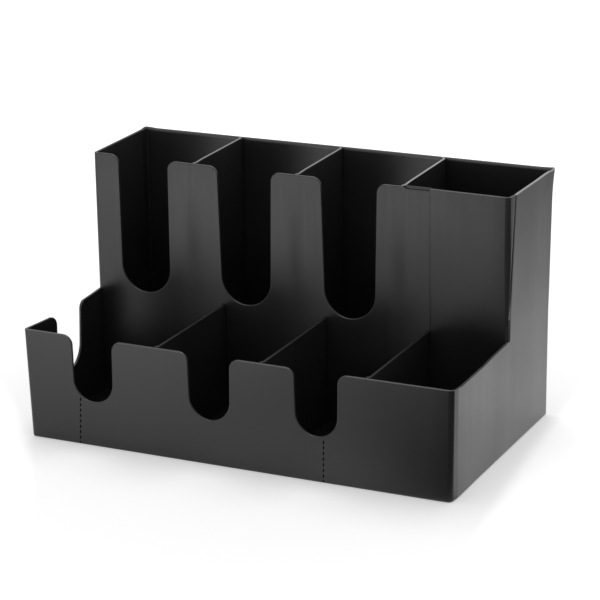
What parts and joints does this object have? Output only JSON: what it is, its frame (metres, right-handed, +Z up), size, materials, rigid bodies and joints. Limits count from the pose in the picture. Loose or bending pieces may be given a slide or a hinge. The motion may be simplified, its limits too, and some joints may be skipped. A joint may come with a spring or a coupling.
{
  "type": "coffee station organizer",
  "caption": "Stepped counter organizer of satin black plastic sheet, with bonded dividers and U-slotted fronts, for cups, lids, stirrers and packets.",
  "frame": {"origin": "on the table, under the middle of the whole body's bounding box", "axes": "+X along the front from left to right, +Y from the front to the back, +Z up"},
  "size_m": [0.4, 0.229, 0.228],
  "materials": {
    "outer_sheet": "satin black plastic sheet with eased edges",
    "divider_sheet": "satin black plastic sheet with eased edges",
    "floor_sheet": "fine matt black plastic sheet"
  },
  "bodies": {
    "root": {"front_wall": "outer_sheet", "left_side_wall": "outer_sheet", "right_side_wall": "outer_sheet", "back_wall": "outer_sheet", "floor_panel": "floor_sheet", "riser_wall": "outer_sheet", "riser_end_panel": "outer_sheet", "front_divider_1": "divider_sheet", "front_divider_2": "divider_sheet", "front_divider_3": "divider_sheet", "rear_divider_1": "divider_sheet", "rear_divider_2": "divider_sheet", "rear_divider_3": "divider_sheet"}
  },
  "joints": []
}
